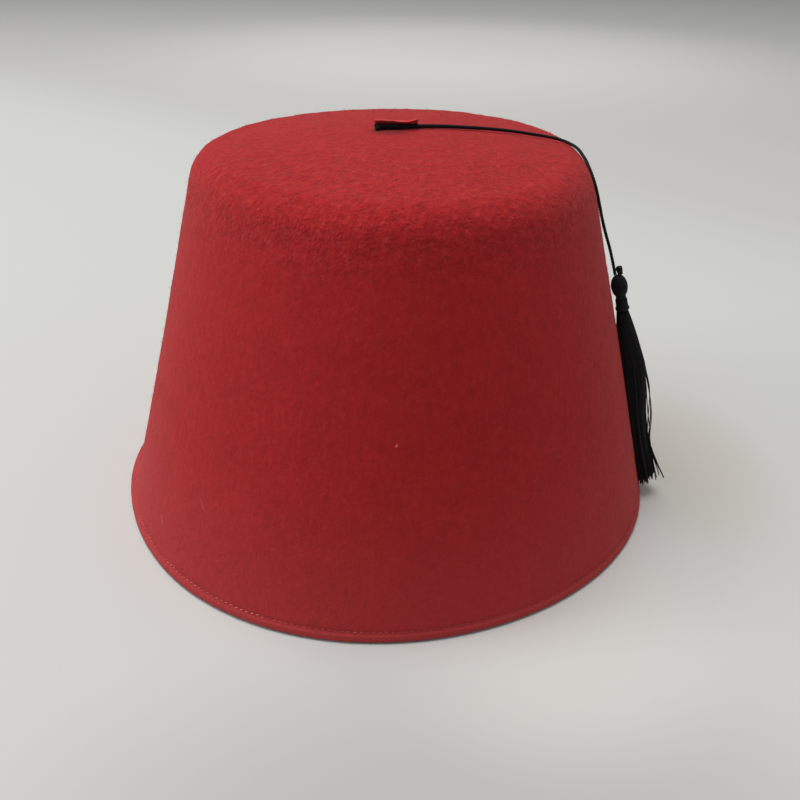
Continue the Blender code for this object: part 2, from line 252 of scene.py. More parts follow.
feltLook = {
    "deep": (0.270, 0.0075, 0.0095),
    "main": (0.430, 0.0150, 0.0165),
    "fibre": (0.62, 0.085, 0.080),
    "dulledRed": (0.40, 0.044, 0.047),
    "paintedLitRed": (0.64, 0.066, 0.066),
    "patch": 14.0 * mm,
    "mottle": 2.2 * mm,
    "grain": 0.7 * mm,
    "pit": 1.7 * mm,
    "speck": 1.9 * mm,
    "fibreSize": 0.45 * mm,
    "streak": 1.3 * mm,
    "streakStretch": 0.10,
    "roughness": 0.92,
    "sheen": 0.12,
    "sheenRoughness": 0.5,
    "sheenTint": (1.0, 0.35, 0.35, 1),
    "shine": 0.2,
    "depth": 0.36 * mm,
    "sideCalm": 0.34,
    "lowSheenHigh": 0.055,
    "dulling": 0.35,
    "lipLow": 0.0030,
    "lipHigh": 0.0044,
    "lipDulling": 0.55,
    "rimShadeRed": (0.060, 0.0050, 0.0065),
    "rimShadeLow": 0.0004,
    "rimShadeHigh": 0.0013,
    "shadeColour": (0.050, 0.0040, 0.0050),
    "shadePlace": (0.6 * mm, -5.2 * mm, 126.0 * mm),
    "shadeSize": (9.0 * mm, 6.5 * mm, 3.0 * mm),
    "shadeDepth": 0.60,
    "markColour": (0.86, 0.26, 0.23),
    "calmLow": 0.098,
    "calmHigh": 0.114,
    "fibreFrom": 0.64,
    "fibreTo": 0.80,
    "fibreShare": 0.22,
    "speckFrom": 0.54,
    "speckTo": 0.70,
    "speckShare": 0.17,
    "pitFrom": 0.12,
    "pitTo": 0.50,
    "middleTone": 0.52,
    "toneOf": {"patch": 0.5, "mottle": 1.9, "grain": 0.9, "pit": 0.16, "streak": 0.6},
    "reliefOf": {"mottle": 1.7, "grain": 0.9, "pit": 0.3, "fibre": 0.25, "streak": 0.22},
    "rimShadeShare": 0.85,
    "backCalm": 0.65,
    "backLow": -0.045,
    "backHigh": 0.010,
}


# small marks on the felt: middle, half size, turn about Y, strength
feltMarks = (
    ((3.1 * mm, -79.6 * mm, 60.3 * mm), (0.66 * mm, 4.0 * mm, 0.80 * mm), 0.3, 1.0),
    ((-71.5 * mm, -57.7 * mm, 14.8 * mm), (0.50 * mm, 4.0 * mm, 2.4 * mm), -0.35, 0.17),
    ((-54.6 * mm, -68.7 * mm, 29.9 * mm), (0.45 * mm, 4.0 * mm, 4.2 * mm), -0.5, 0.12),
)


def feltFinish(name, depthShare=1.0, paintedLitShare=0.0):
    # red wool: patches, mottle, grain and pits of crossed fibres, with a short nap;
    # rough on the shoulder and the front of the top, and calmer on the side and towards the back
    look = feltLook
    board = Board(name, look)
    place = board.place()
    high = board.node("ShaderNodeSeparateXYZ", {}, {0: place}, output=2)
    back = board.node("ShaderNodeSeparateXYZ", {}, {0: place}, output=1)
    rough = board.ramp(high, look["calmLow"], look["calmHigh"])
    rough = rough * (1 - look["backCalm"] * board.ramp(back, look["backLow"], look["backHigh"]))
    rough = look["sideCalm"] + (1 - look["sideCalm"]) * rough
    patch = board.noise(place, look["patch"], detail=3)
    mottle = board.noise(place, look["mottle"], detail=3, roughness=0.6)
    grain = board.noise(place, look["grain"], detail=2)
    streak = board.noise(board.place((1, 1, look["streakStretch"])), look["streak"], detail=2)
    pit = 1 - board.ramp(board.cells(place, look["pit"]), look["pitFrom"], look["pitTo"])
    fibre = board.noise(place, look["fibreSize"], detail=2, roughness=0.7, distortion=2.5)
    speck = board.noise(place, look["speck"], detail=2, roughness=0.6)
    part = look["toneOf"]
    tone = part["mottle"] * (mottle - 0.5) + part["grain"] * (grain - 0.5) - part["pit"] * pit
    tone = look["middleTone"] + part["patch"] * (patch - 0.5) + rough * tone
    tone = (tone + part["streak"] * (streak - 0.5)).clamped()
    base = board.blend(tone, look["deep"], look["main"])
    pale = board.ramp(fibre, look["fibreFrom"], look["fibreTo"]) * look["fibreShare"]
    pale = pale + board.ramp(speck, look["speckFrom"], look["speckTo"]) * rough * look["speckShare"]
    base = board.blend(pale, base, look["fibre"])
    # painted light: the tab's felt is blended towards a paler red, in place of light the lamps don't
    # bring to its top
    base = board.blend(paintedLitShare, base, look["paintedLitRed"])
    # painted sheen of the floor's light: the felt turns duller and paler towards the bottom
    dulling = (1 - board.ramp(high, 0.0, look["lowSheenHigh"])) * look["dulling"]
    base = board.blend(dulling, base, look["dulledRed"])
    # duller and paler on the hem's lip
    dulling = (1 - board.ramp(high, look["lipLow"], look["lipHigh"])) * look["lipDulling"]
    base = board.blend(dulling, base, look["dulledRed"])
    # painted shade: a dark line along the foot of the hem, in the crease where the felt tucks under onto
    # the floor
    edge = (1 - board.ramp(high, look["rimShadeLow"], look["rimShadeHigh"])) * look["rimShadeShare"]
    base = board.blend(edge, base, look["rimShadeRed"])
    # painted shadow on the top, in front of the tab and under its front edge and the cord's end; weaker
    # on the tab's own felt
    under = board.spot(place, look["shadePlace"], look["shadeSize"])
    under = under * look["shadeDepth"] * (1 - paintedLitShare)
    base = board.blend(under, base, look["shadeColour"])
    for middle, size, turned, strength in feltMarks:
        mark = board.spot(place, middle, size, (0, turned, 0)) * strength
        base = board.blend(mark, base, look["markColour"])
    board.colour(base)
    part = look["reliefOf"]
    height = part["mottle"] * (mottle - 0.5) + part["grain"] * (grain - 0.5) - part["pit"] * pit
    height = 0.5 + rough * height + part["fibre"] * (fibre - 0.5) + part["streak"] * (streak - 0.5)
    board.bump(height, look["depth"] * depthShare)
    return board.material


threadLook = {
    "dark": (0.0022, 0.0022, 0.0032),
    "light": (0.0075, 0.0072, 0.0095),
    "roughness": 0.58,
    "sheen": 0.03,
    "sheenRoughness": 0.35,
    "shine": 0.18,
    "depth": 0.05 * mm,
    "toneSpread": 4,
    "toneWeight": 1.6,
    "grainWeight": 1.2,
    "grainStretch": 0.12,
}


def threadFinish(name, fine):
    # black rayon: near black, with fine lengthwise grain
    look = threadLook
    board = Board(name, look)
    place = board.place()
    tone = board.noise(place, fine * look["toneSpread"], detail=3)
    grain = board.noise(board.place((1, 1, look["grainStretch"])), fine, detail=2)
    shade = 0.5 + look["toneWeight"] * (tone - 0.5) + look["grainWeight"] * (grain - 0.5)
    board.colour(board.blend(shade.clamped(), look["dark"], look["light"]))
    board.bump(grain, look["depth"])
    return board.material


redFelt = feltFinish("red_felt_nap")
# the tab's felt, with painted light that makes it paler than the crown's
tabFelt = feltFinish("tab_felt_nap", depthShare=0.5, paintedLitShare=0.75)
blackThread = threadFinish("black_rayon", fine=0.25 * mm)
print("finishes made")


# felt crown

crown = {
    "baseRadius": 95.5 * mm,
    "topRadius": 64.2 * mm,
    "sideHeight": 121.0 * mm,
    "domeRise": 4.95 * mm,
    "shoulder": 10.6 * mm,
    "wall": 2.8 * mm,
    "lean": 2.4 * mm,
    "bow": 0.52 * mm,
    "dent": 0.7 * mm,
    "dentTurn": math.radians(-10),
    "dentSpread": math.radians(24),
    "dentHeight": 115.0 * mm,
    "dentReach": 4.5 * mm,
    "rimTuck": 0.55 * mm,
    "flare": 3.5 * mm,
    "flareHeight": 5.2 * mm,
    "flareTurn": math.radians(173.8),
    "flareSpread": math.radians(25.1),
    "rimWarp": 1.9 * mm,
    "rimWaves": ((2, -0.02, -0.48), (3, 0.79, -0.24)),
    "topWarp": 1.9 * mm,
    "topWaves": ((2, -1.42, 0.18), (3, -0.64, 0.26)),
    "turns": 392,
    "sideRings": 112,
    "shoulderRings": 26,
    "topRings": 58,
    "hemRings": 18,
    "insideRings": (8, 6, 12, 3),
    "lump": 7.0 * mm,
    "lumpDepth": 0.09 * mm,
    "nub": 2.2 * mm,
    "nubDepth": 0.100 * mm,
    "swell": 0.62 * mm,
    "swellTurn": math.radians(-14),
    "swellSpread": math.radians(13),
    "swellHeight": 115.0 * mm,
    "swellReach": 10.0 * mm,
    "sideCalm": 0.40,
    "roughFrom": 0.78,
    "roughReach": 0.16,
}
hem = {
    "height": 3.3 * mm,
    "stand": 0.5 * mm,
    "edgeRound": 0.9 * mm,
    "edgeTuck": 0.45 * mm,
    "top": 5.3 * mm,
    "fade": 0.8 * mm,
    "groove": 0.20 * mm,
    "grooveHeight": 3.95 * mm,
    "grooveWidth": 0.42 * mm,
}
sideSlope = math.atan2(crown["baseRadius"] - crown["topRadius"], crown["sideHeight"])


def nearTurn(turn, middle, spread):
    # exp(-(angle / spread)^2), with the angle measured the short way round
    away = (turn - middle + np.pi) % (2 * np.pi) - np.pi
    return np.exp(-((away / spread) ** 2))


def waves(turn, rows):
    # the sum of even * cos(count * turn) + odd * sin(count * turn) over the rows
    return sum(even * np.cos(count * turn) + odd * np.sin(count * turn) for count, even, odd in rows)


def sideTop(inset):
    # the height where the side meets the shoulder's arc
    return crown["sideHeight"] - crown["shoulder"] + (crown["shoulder"] - inset) * np.sin(sideSlope)


def feltPoints(turn, zone, reach, inset=0.0, stand=0.0):
    # wall: a cone; shoulder: an arc that turns it in; top: a low dome.
    # Waves, a flare at the rim, the cord's dent and a bowed lean move each ring off round.
    rounding = crown["shoulder"]
    middleHeight = crown["sideHeight"] - rounding
    middleRadius = crown["baseRadius"] - middleHeight * np.tan(sideSlope) - rounding / np.cos(sideSlope)
    if zone == "wall":
        height = reach + 0 * turn
        radius = crown["baseRadius"] - height * np.tan(sideSlope) - inset / np.cos(sideSlope)
    elif zone == "shoulder":
        angle = sideSlope + reach * (np.pi / 2 - sideSlope)
        height = middleHeight + (rounding - inset) * np.sin(angle) + 0 * turn
        radius = middleRadius + (rounding - inset) * np.cos(angle)
    else:
        height = crown["sideHeight"] - inset + crown["domeRise"] * (1 - (1 - reach) ** 2) + 0 * turn
        radius = middleRadius * (1 - reach)
    up = np.minimum(height / crown["sideHeight"], 1.0)
    radius = radius + (1 - up) * crown["rimWarp"] * waves(turn, crown["rimWaves"])
    pull = up * np.minimum(radius / crown["topRadius"], 1.0)
    radius = radius + pull * crown["topWarp"] * waves(turn, crown["topWaves"])
    dent = np.exp(-(((height - crown["dentHeight"]) / crown["dentReach"]) ** 2))
    dent = dent * nearTurn(turn, crown["dentTurn"], crown["dentSpread"])
    radius = radius - crown["dent"] * dent * np.minimum(radius / crown["topRadius"], 1.0)
    flare = crown["flare"] * nearTurn(turn, crown["flareTurn"], crown["flareSpread"])
    radius = radius + (flare - crown["rimTuck"]) * softStep(1 - height / crown["flareHeight"]) + stand
    lean = crown["lean"] * height / (crown["sideHeight"] + crown["domeRise"])
    lean = lean + crown["bow"] * np.sin(np.pi * up)
    return np.stack([radius * np.cos(turn) + lean, radius * np.sin(turn), height], axis=-1)


def hemStand(height):
    # a lip with a rounded lower edge, that ends in a stitched groove
    lip = 1 - softStep((height - hem["height"] + hem["fade"]) / hem["fade"])
    lip = softStep(height / hem["edgeRound"]) * lip
    groove = np.exp(-(((height - hem["grooveHeight"]) / hem["grooveWidth"]) ** 2))
    tuck = hem["edgeTuck"] * (1 - softStep(height / hem["edgeRound"]))
    return hem["stand"] * lip - hem["groove"] * groove - tuck


def footMiddle():
    # how far the hem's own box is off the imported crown's
    turn = np.linspace(0, 2 * np.pi, crown["turns"], endpoint=False)
    ring = feltPoints(turn, "wall", hem["edgeRound"], stand=hem["stand"])
    low, high = [np.array(corner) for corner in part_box("felt_crown")]
    return np.append(((ring.min(axis=0) + ring.max(axis=0)) / 2 - (low + high) / 2)[:2], 0)


foot = footMiddle()


def crownRings():
    # rings down the inside, across the flat rim, up the hem and the side, and in over the top
    turn = np.linspace(0, 2 * np.pi, crown["turns"], endpoint=False)[None, :]
    wall = crown["wall"]
    topIn, shoulderIn, sideIn, rimIn = crown["insideRings"]

    def steps(count, low=0.0, high=1.0):
        # this many even steps from low to high, one to a row
        return np.linspace(low, high, count + 1)[:, None]

    sideHeights = hem["top"] + steps(sideIn, 1, 0)[:-1] * (sideTop(wall) - hem["top"])
    inside = [
        feltPoints(turn, "top", steps(topIn, 1 - 1 / topIn, 0)[:-1], wall),
        feltPoints(turn, "shoulder", steps(shoulderIn, 1, 0)[:-1], wall),
        feltPoints(turn, "wall", sideHeights, wall),
        feltPoints(turn, "wall", steps(rimIn, hem["top"], 0), wall),
    ]
    hemHeights = steps(crown["hemRings"], 0, hem["top"])
    sideHeights = hem["top"] + steps(crown["sideRings"])[1:] * (sideTop(0) - hem["top"])
    outside = [
        feltPoints(turn, "wall", hemHeights, stand=hemStand(hemHeights)),
        feltPoints(turn, "wall", sideHeights),
        feltPoints(turn, "shoulder", steps(crown["shoulderRings"])[1:]),
        feltPoints(turn, "top", steps(crown["topRings"])[1:-1]),
    ]
    return np.concatenate(inside) - foot, np.concatenate(outside) - foot


def ringNormals(rings):
    # across the rings: the step round times the step along
    around = np.roll(rings, -1, axis=1) - np.roll(rings, 1, axis=1)
    return unit(np.cross(around, np.gradient(rings, axis=0)))


def feltRelief(points):
    # soft lumps and small nubs, calmer on the side than on the shoulder and the top,
    # and a low swell, exp(-(distance)^2), where the felt is pressed up beside the cord
    height = points[..., 2]
    upper = softStep((height / crown["sideHeight"] - crown["roughFrom"]) / crown["roughReach"])
    lumps = softNoise(points, crown["lump"], 1) + 0.5 * softNoise(points, crown["lump"] / 2, 2)
    nubs = softNoise(points, crown["nub"], 3)
    calm = crown["sideCalm"] + (1 - crown["sideCalm"]) * upper
    rimFade = softStep(height / hem["edgeRound"])
    turn = np.arctan2(points[..., 1], points[..., 0])
    beside = nearTurn(turn, crown["swellTurn"], crown["swellSpread"])
    beside = beside * np.exp(-(((height - crown["swellHeight"]) / crown["swellReach"]) ** 2))
    rough = (crown["lumpDepth"] * lumps + crown["nubDepth"] * nubs) * calm * rimFade
    return rough + crown["swell"] * beside


insideRings, outsideRings = crownRings()
allRings = np.concatenate([insideRings, outsideRings])
allNormals = ringNormals(allRings)
allRings = allRings + allNormals * feltRelief(allRings)[..., None]
crownFaces = skinFaces(*allRings.shape[:2])
crownPiece = makePiece("felt_crown_nap", skinPoints(allRings), crownFaces, redFelt)
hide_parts("felt_crown")
outerRings = allRings[len(insideRings):]
outerNormals = allNormals[len(insideRings):]
print("crown made:", len(crownPiece.data.polygons), "faces")


# loose fibres that stand off the felt

fuzz = {
    "seed": 11,
    "count": 12500,
    "steps": 3,
    "sides": 3,
    "length": (0.7 * mm, 2.2 * mm),
    "rise": (0.05 * mm, 0.80 * mm),
    "root": 0.12 * mm,
    "curl": 0.7 * mm,
    "arch": 0.75,
    "tip": 0.45,
    "radius": 0.030 * mm,
    "roughness": 0.9,
    "sheen": 0.05,
    "shine": 0.1,
    "toneSize": 3.0 * mm,
    "paleFrom": 0.35,
    "paleTo": 0.65,
    "colour": (0.36, 0.018, 0.019),
    "pale": (0.46, 0.042, 0.042),
}


def fibrePaths(rings, normals, count, seed):
    # root on a random cell, then out along the felt:
    # along * length * t + normal * rise * sin(arch pi t) + sideways * curl * t^2
    draw = np.random.default_rng(seed)
    across = np.roll(rings, -1, axis=1) - rings
    area = np.linalg.norm(np.cross(across[:-1], (rings[1:] - rings[:-1])), axis=-1)
    reach = np.cumsum(area.ravel())
    cell = np.searchsorted(reach, draw.random(count) * reach[-1])
    row, column = np.unravel_index(cell, area.shape)
    mixRow, mixColumn = draw.random((2, count, 1))
    after = (column + 1) % rings.shape[1]
    low = rings[row, column] * (1 - mixColumn) + rings[row, after] * mixColumn
    high = rings[row + 1, column] * (1 - mixColumn) + rings[row + 1, after] * mixColumn
    root = low * (1 - mixRow) + high * mixRow
    normal = normals[row, column]
    around = unit(across[row, column])
    heading = draw.random((count, 1)) * 2 * np.pi
    along = np.cos(heading) * around + np.sin(heading) * np.cross(normal, around)
    sideways = np.cross(normal, along)
    shortest, longest = fuzz["length"]
    length = shortest + draw.random((count, 1, 1)) ** 2 * (longest - shortest)
    lowest, highest = fuzz["rise"]
    rise = lowest + draw.random((count, 1, 1)) ** 2 * (highest - lowest)
    curl = fuzz["curl"] * (2 * draw.random((count, 1, 1)) - 1)
    share = np.linspace(0, 1, fuzz["steps"])[None, :, None]
    return (
        root[:, None]
        - fuzz["root"] * normal[:, None]
        + along[:, None] * length * share
        + normal[:, None] * (rise + fuzz["root"]) * np.sin(fuzz["arch"] * np.pi * share)
        + sideways[:, None] * curl * share**2
    ), normal


def fuzzFinish():
    # single wool fibres, a little paler than the felt
    board = Board("loose_wool", fuzz)
    tone = board.noise(board.place(), fuzz["toneSize"])
    share = board.ramp(tone, fuzz["paleFrom"], fuzz["paleTo"])
    board.colour(board.blend(share, fuzz["colour"], fuzz["pale"]))
    return board.material


paths, rootNormals = fibrePaths(outerRings, outerNormals, fuzz["count"], fuzz["seed"])
paths[..., 2] = np.maximum(paths[..., 2], 2 * fuzz["radius"])
radii = np.full(paths.shape[:2], fuzz["radius"]) * np.linspace(1.0, fuzz["tip"], fuzz["steps"])
fuzzPiece = makePiece(
    "felt_fuzz",
    tubePoints(paths, radii, fuzz["sides"], rootNormals[:, None]),
    tubeFaces(*paths.shape[:2], fuzz["sides"]),
    fuzzFinish(),
)
print("fuzz made:", len(fuzzPiece.data.polygons), "faces")


# stitches above the hem

stitches = {
    "count": 318,
    "length": 0.60,
    "height": 3.80 * mm,
    "slant": 0.34 * mm,
    "stray": 0.22 * mm,
    "strayRun": 1.7,
    "radius": 0.19 * mm,
    "rise": 0.12 * mm,
    "sunk": 0.06 * mm,
    "steps": 7,
    "sides": 6,
    "colour": (0.60, 0.15, 0.13),
    "dull": (0.40, 0.032, 0.032),
    "roughness": 0.7,
    "sheen": 0.2,
    "shine": 0.3,
    "taper": 0.12,
    "wornSize": 5.0 * mm,
    "wornFrom": 0.42,
    "wornTo": 0.62,
    "paleTo": 0.015,
    "paleFrom": -0.045,
}


def stitchPaths():
    # each stitch: a low arc along the groove, up by rise * sin(pi t), slanted a little
    share = np.linspace(0, 1, stitches["steps"])[None, :]
    middle = np.arange(stitches["count"])[:, None]
    turn = (middle + stitches["length"] * (share - 0.5)) * 2 * np.pi / stitches["count"]
    stray = softNoise(np.repeat(middle * 1.0, 3, axis=1), stitches["strayRun"], 15)[:, None]
    height = stitches["height"] + stitches["slant"] * (share - 0.5) + stitches["stray"] * stray
    stand = hemStand(height) + stitches["rise"] * np.sin(np.pi * share) - stitches["sunk"]
    return feltPoints(turn, "wall", height, stand=stand) - foot


def stitchFinish():
    # cotton thread, pale in patches on the left and dull felt red elsewhere
    look = stitches
    board = Board("hem_thread", look)
    place = board.place()
    left = board.node("ShaderNodeSeparateXYZ", {}, {0: place}, output=0)
    pale = board.ramp(board.noise(place, look["wornSize"]), look["wornFrom"], look["wornTo"])
    pale = pale * (1 - board.ramp(left, look["paleFrom"], look["paleTo"]))
    board.colour(board.blend(pale, look["dull"], look["colour"]))
    return board.material


paths = stitchPaths()
taper = np.sin(np.pi * np.linspace(stitches["taper"], 1 - stitches["taper"], stitches["steps"]))
radii = np.full(paths.shape[:2], stitches["radius"]) * taper
stitchPiece = makePiece(
    "hem_stitches",
    tubePoints(paths, radii, stitches["sides"], np.array((0.0, 0.0, 1.0))),
    tubeFaces(*paths.shape[:2], stitches["sides"]),
    stitchFinish(),
)
print("stitches made:", len(stitchPiece.data.polygons), "faces")


# tab on the top

tab = {
    "length": 13.6 * mm,
    "width": 6.0 * mm,
    "felt": 0.9 * mm,
    "endLift": 0.3 * mm,
    "curl": 4,
    "across": (0.00, 0.14, 0.28, 0.42, 0.56, 0.70, 0.85, 1.00),
    "up": (0.00, 0.02, 0.16, 0.50, 0.84, 0.98, 1.00, 0.94),
    "steps": 56,
    "round": 34,
    "relief": 0.09 * mm,
    "fray": 0.30 * mm,
    "droop": 0.30,
    "droopMiddle": 0.68,
    "droopSpread": 0.22,
    "frontLift": 0.65 * mm,
    "flick": 0.30 * mm,
    "flickFrom": 0.78,
    "thin": 0.50,
    "endRound": 0.25,
    "endLeast": 0.02,
    "flatAcross": 0.6,
    "flatUp": 0.5,
    "frontFrom": 0.55,
    "frayPower": 6,
    "fraySize": 0.9 * mm,
    "reliefSize": 1.6 * mm,
}
cord = {
    "diameter": 1.0 * mm,
    "plies": 3,
    "pitch": 2.9 * mm,
    "plyRadius": 0.28 * mm,
    "steps": 560,
    "sides": 10,
    "curveSteps": 20,
    "pathEvery": 10,
    "apart": 0.03 * mm,
    "uneven": 0.06,
    "unevenSize": 0.8 * mm,
    "fuller": 0.34,
    "fullerTo": 0.50,
}


def tabRings():
    # the strip's own section, a flat oval along its rising line, carried from its left end to its right
    topMiddle = feltPoints(np.array(0.0), "top", 1.0) - foot
    angle = np.linspace(0, 2 * np.pi, tab["round"], endpoint=False)[None, :]
    share = 0.5 + 0.5 * np.sign(np.cos(angle)) * np.abs(np.cos(angle)) ** tab["flatAcross"]
    along = np.linspace(0, 1, tab["steps"])[:, None]
    end = np.minimum(along, 1 - along) * tab["length"]
    full = np.sqrt(np.clip(end / (tab["endRound"] * tab["felt"]), tab["endLeast"], 1))
    rise = cord["diameter"] + gap + tab["endLift"] * along ** tab["curl"]
    front = softStep((share - tab["frontFrom"]) / (1 - tab["frontFrom"]))
    droop = tab["droop"] * np.exp(-(((along - tab["droopMiddle"]) / tab["droopSpread"]) ** 2))
    flick = tab["flick"] * softStep((along - tab["flickFrom"]) / (1 - tab["flickFrom"]))
    height = gap + np.interp(share, tab["across"], tab["up"]) * rise * (1 - droop * front)
    height = height + (tab["frontLift"] + flick) * front
    skin = 0.5 + 0.5 * full * np.sign(np.sin(angle)) * np.abs(np.sin(angle)) ** tab["flatUp"]
    thin = tab["thin"] * front
    height = height + tab["felt"] * (thin + (1 - thin) * skin)
    line = np.stack([
        (along - 0.5) * tab["length"] + 0 * angle,
        (0.5 - share) * tab["width"] + 0 * along,
        height,
    ], axis=-1)
    edge = np.abs(2 * share - 1) ** tab["frayPower"]
    fray = tab["fray"] * edge[..., None] * np.sign(0.5 - share)[..., None]
    line = line + topMiddle
    line = line + fray * softNoise(line, tab["fraySize"], 5)[..., None] * np.array((0, 1, 0))
    return line + tab["relief"] * softNoise(line, tab["reliefSize"], 6)[..., None] * np.array((0, 0, 1))


rings = tabRings()
tabPiece = makePiece("tab_nap", skinPoints(rings), skinFaces(*rings.shape[:2]), tabFelt)
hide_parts("centre_tab")
print("tab made")


# cord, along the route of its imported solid

cordRoute = np.array((
    (-2.8, -2.9, 126.7),
    (2.3, -2.4, 126.8),
    (8.5, -1.4, 126.8),
    (14.0, 0.2, 126.6),
    (19.6, 1.4, 126.3),
    (31.0, 3.8, 125.4),
    (40.0, 5.3, 124.4),
    (46.2, 6.3, 123.4),
    (51.6, 6.7, 122.6),
    (56.2, 5.0, 121.9),
    (59.4, 2.0, 121.0),
    (60.7, -1.3, 120.3),
    (61.2, -4.6, 119.6),
    (61.6, -7.8, 118.9),
    (61.9, -10.8, 118.0),
    (62.3, -13.4, 116.7),
    (63.0, -15.5, 114.8),
    (63.8, -16.4, 112.6),
    (64.9, -16.7, 109.5),
    (66.1, -16.4, 106.0),
    (67.5, -15.6, 102.2),
    (69.3, -14.8, 97.8),
    (71.6, -14.1, 92.5),
    (73.5, -13.8, 87.4),
    (74.8, -14.0, 83.4),
)) * mm


def smoothRoute(points, count):
    # a curve through the points, each stretch a cubic of its four nearest, then spaced evenly
    padded = np.concatenate([[2 * points[0] - points[1]], points, [2 * points[-1] - points[-2]]])
    before, here = padded[:-3, None], padded[1:-2, None]
    there, after = padded[2:-1, None], padded[3:, None]
    share = np.linspace(0, 1, cord["curveSteps"], endpoint=False)[None, :, None]
    fine = 0.5 * (
        2 * here
        + (there - before) * share
        + (2 * before - 5 * here + 4 * there - after) * share**2
        + (3 * here - before - 3 * there + after) * share**3
    )
    fine = np.concatenate([fine.reshape(-1, 3), points[-1:]])
    lengths = np.append(0, np.cumsum(np.linalg.norm(np.diff(fine, axis=0), axis=-1)))
    wanted = np.linspace(0, lengths[-1], count)
    line = np.stack([np.interp(wanted, lengths, fine[:, axis]) for axis in range(3)], axis=-1)
    return line, lengths[-1]


def cordPaths(line, length):
    # each ply: line + offset * (cos(turn) * across + sin(turn) * over), a full turn for each pitch;
    # looser and fuller on the top than where it is pulled over the shoulder
    along = unit(np.gradient(line, axis=0))
    across = unit(np.cross(along, np.array((0.0, 1.0, 0.0))))
    over = np.cross(along, across)
    share = np.linspace(0, 1, len(line))[None, :, None]
    start = 2 * np.pi * np.arange(cord["plies"])[:, None, None] / cord["plies"]
    turn = start + 2 * np.pi * share * length / cord["pitch"]
    full = 1 + cord["fuller"] * (1 - softStep(share / cord["fullerTo"]))
    offset = (cord["diameter"] / 2 - cord["plyRadius"] + cord["apart"]) * full
    paths = line + offset * (np.cos(turn) * across + np.sin(turn) * over)
    return paths, cord["plyRadius"] * full[..., 0]


cordLine, cordLength = smoothRoute(cordRoute, cord["steps"])
paths, plyRadii = cordPaths(cordLine, cordLength)
wobble = 1 + cord["uneven"] * softNoise(paths, cord["unevenSize"], 8)
cordPiece = makePiece(
    "twisted_cord",
    tubePoints(paths, plyRadii * wobble, cord["sides"], np.array((0.0, 1.0, 0.0))),
    tubeFaces(*paths.shape[:2], cord["sides"]),
    blackThread,
)
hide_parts("tassel_cord")
print("cord made, length", round(cordLength / mm, 1), "mm")

fray = {
    "seed": 31,
    "count": 110,
    "steps": 7,
    "sides": 5,
    "length": (0.8 * mm, 1.6 * mm),
    "aside": 1.8 * mm,
    "up": 1.05 * mm,
    "inside": 0.5,
    "shut": 0.35,
    "openReach": 1.1,
    "headingSteps": 12,
    "radius": 0.11 * mm,
}


def frayPiece():
    # the cord's cut end under the tab: strands run out of its last millimetre and fan to an oval tuft
    draw = np.random.default_rng(fray["seed"])
    angle, fill, long = draw.random((3, fray["count"], 1, 1))
    share = np.linspace(-fray["inside"], 1, fray["steps"])[None, :, None]
    heading = unit(cordLine[0] - cordLine[fray["headingSteps"]])
    across = unit(np.cross(heading, np.array((0.0, 0.0, 1.0))))
    opened = softStep((share + fray["inside"]) / fray["openReach"])
    fan = np.sqrt(fill) * (fray["shut"] + (1 - fray["shut"]) * opened)
    shortest, longest = fray["length"]
    length = shortest + long * (longest - shortest)
    paths = (
        cordLine[0]
        + heading * length * share
        + across * fray["aside"] * fan * np.cos(2 * np.pi * angle)
        + np.array((0.0, 0.0, 1.0)) * fray["up"] * fan * np.sin(2 * np.pi * angle)
    )
    radii = np.full(paths.shape[:2], fray["radius"])
    points = tubePoints(paths, radii, fray["sides"], np.array((0.0, 0.0, 1.0)))
    faces = tubeFaces(*paths.shape[:2], fray["sides"])
    return makePiece("cord_fray", points, faces, blackThread)


frayMade = frayPiece()
print("fray made:", len(frayMade.data.polygons), "faces")


# tassel

tassel = {
    "turn": math.radians(-10.5),
    "top": 82.6 * mm,
    "foot": 5.28 * mm,
    "headLength": 7.9 * mm,
    "headRadius": 2.65 * mm,
    "neckLength": 5.1 * mm,
    "boundRadius": 1.62 * mm,
    "ballShare": 0.72,
    "headThreads": 46,
    "headSteps": 30,
    "headThread": 0.21 * mm,
    "headTwist": 0.35,
    "coreRound": 32,
    "coreSteps": 40,
    "coreFrom": 0.02,
    "threadFrom": 0.05,
    "threadSides": 6,
    "threadSunk": 0.6,
    "threadThin": 0.35,
    "threadLeast": 0.4,
    "least": 0.1 * mm,
    "stray": 0.05 * mm,
    "straySize": 1.1 * mm,
}


def tasselAxes():
    # out from the wall, sideways along it and down it from the tassel's top to its foot's height
    turn = np.array(tassel["turn"])
    top = feltPoints(turn, "wall", tassel["top"]) - foot
    low = feltPoints(turn, "wall", tassel["foot"]) - foot
    down = unit(low - top)
    around = np.array((-math.sin(tassel["turn"]), math.cos(tassel["turn"]), 0))
    out = unit(np.cross(down, around))
    return top, out, np.cross(down, out), down


tasselOrigin, tasselOut, tasselSide, tasselDown = tasselAxes()
headAxis = tassel["headRadius"] + gap
skirtTop = tassel["headLength"] + tassel["neckLength"]


def tasselPoints(out, side, down):
    # origin + out * its way out + side * its way sideways + down * its way down
    out, side, down = [value[..., None] for value in np.broadcast_arrays(out, side, down)]
    return tasselOrigin + out * tasselOut + side * tasselSide + down * tasselDown


def headProfile(share):
    # a ball drawn in to the bound neck: radius and way down, at a share of the way
    neckAngle = np.pi - math.asin(tassel["boundRadius"] / tassel["headRadius"])
    ball = np.minimum(share / tassel["ballShare"], 1.0) * neckAngle
    neck = np.maximum(share - tassel["ballShare"], 0) / (1 - tassel["ballShare"])
    radius = tassel["headRadius"] * np.sin(ball)
    ballEnd = tassel["headLength"] / 2 * (1 - np.cos(ball))
    return radius, ballEnd + neck * (skirtTop - tassel["headLength"] / 2 * (1 - np.cos(neckAngle)))


